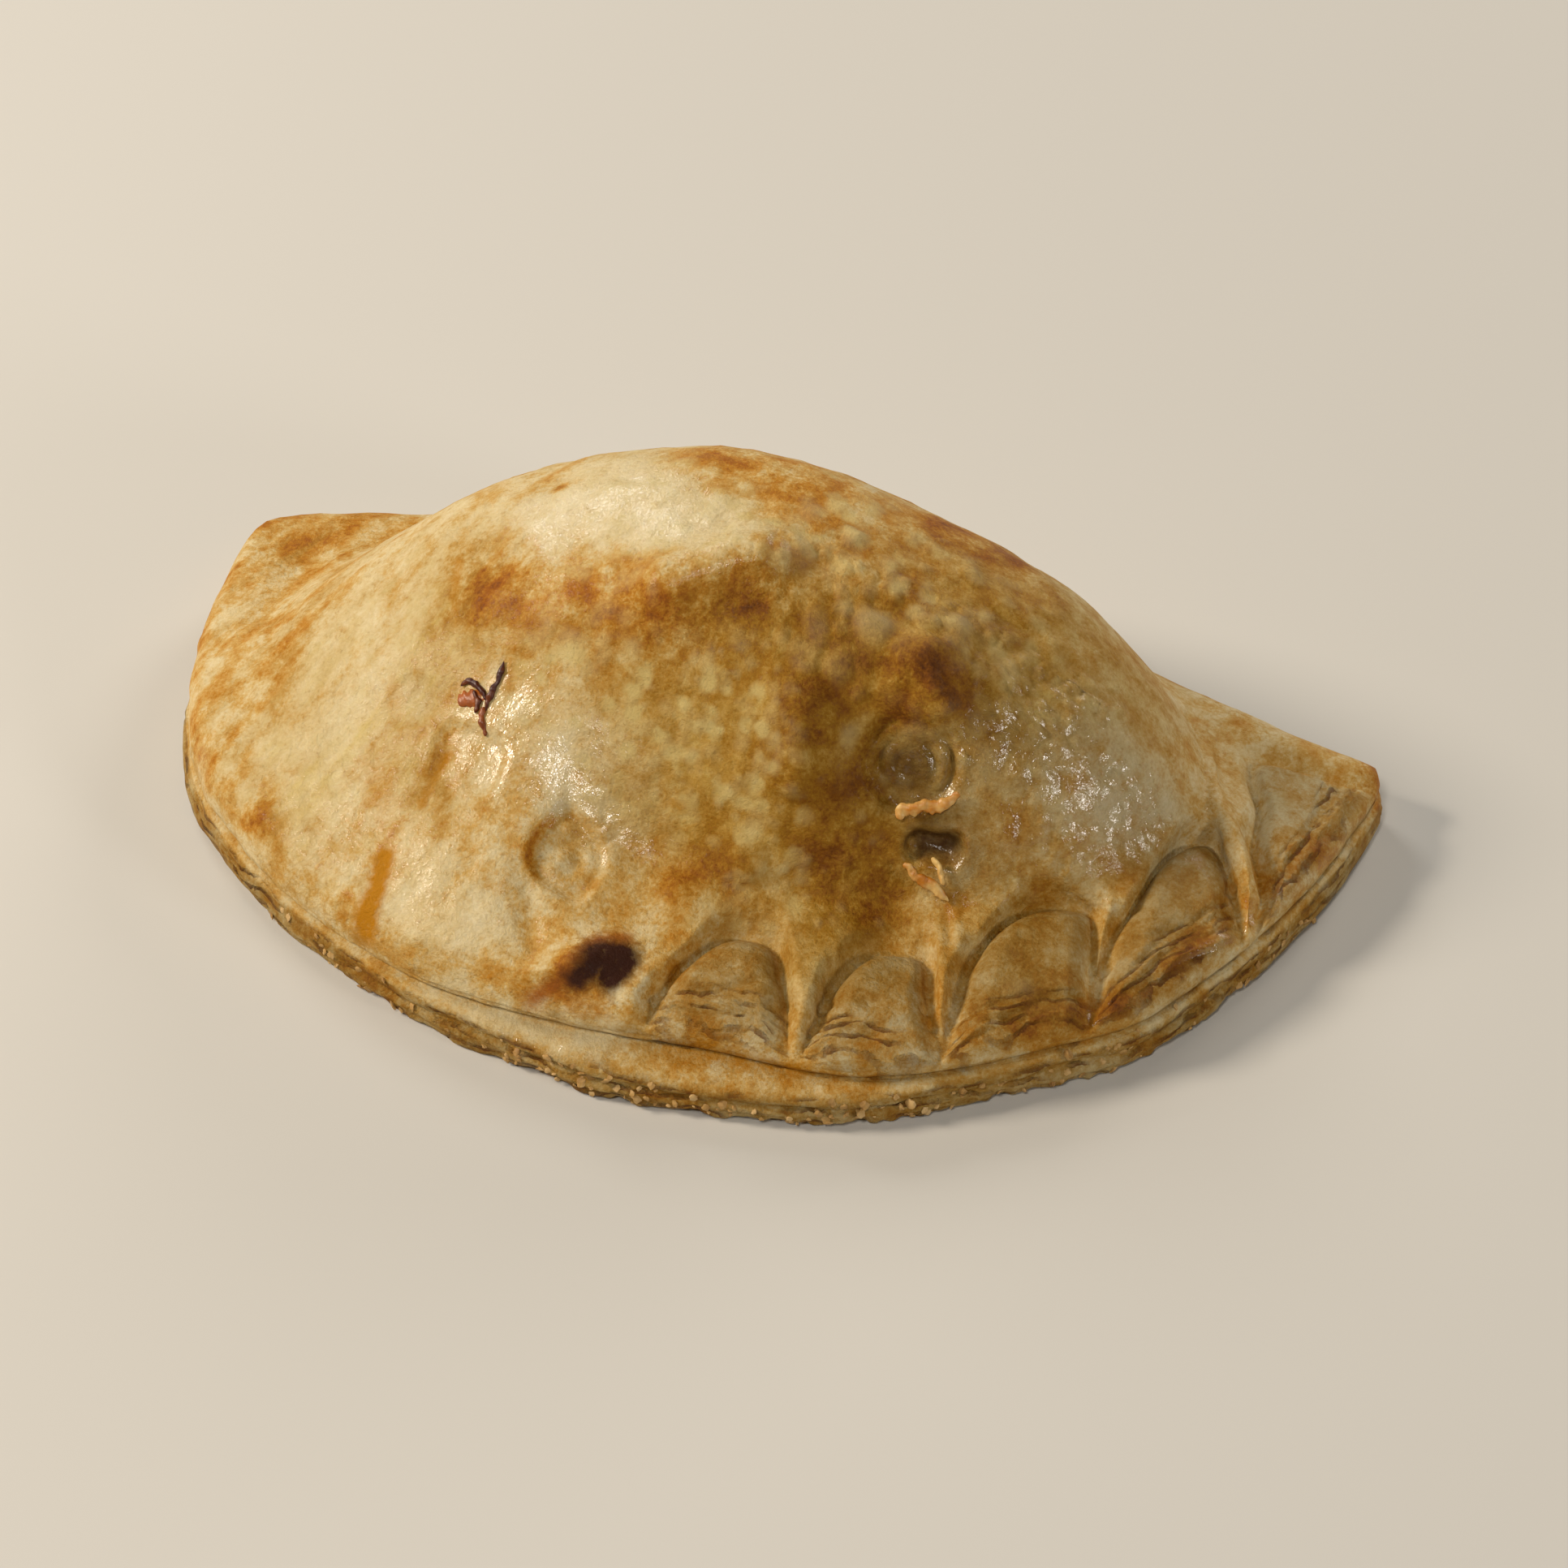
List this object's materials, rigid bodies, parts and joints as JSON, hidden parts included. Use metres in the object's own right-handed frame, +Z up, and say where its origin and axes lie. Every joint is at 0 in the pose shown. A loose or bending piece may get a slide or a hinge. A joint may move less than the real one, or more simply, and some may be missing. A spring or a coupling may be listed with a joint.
{
  "type": "empanada",
  "caption": "Half-moon baked empanada: pastry folded over a domed filling, its front edge pressed shut with thumb marks, a torn vent in the crust.",
  "frame": {"origin": "middle of the outline, on the flat base it rests on", "axes": "+Z up, +X along the fold to the pointed right corner, -Y to the sealed front edge"},
  "size_m": [0.1432, 0.0848, 0.0429],
  "materials": {
    "crust": "golden baked dough, browned in patches, lightly glazed"
  },
  "bodies": {
    "root": {"empanada": "crust"}
  },
  "joints": []
}
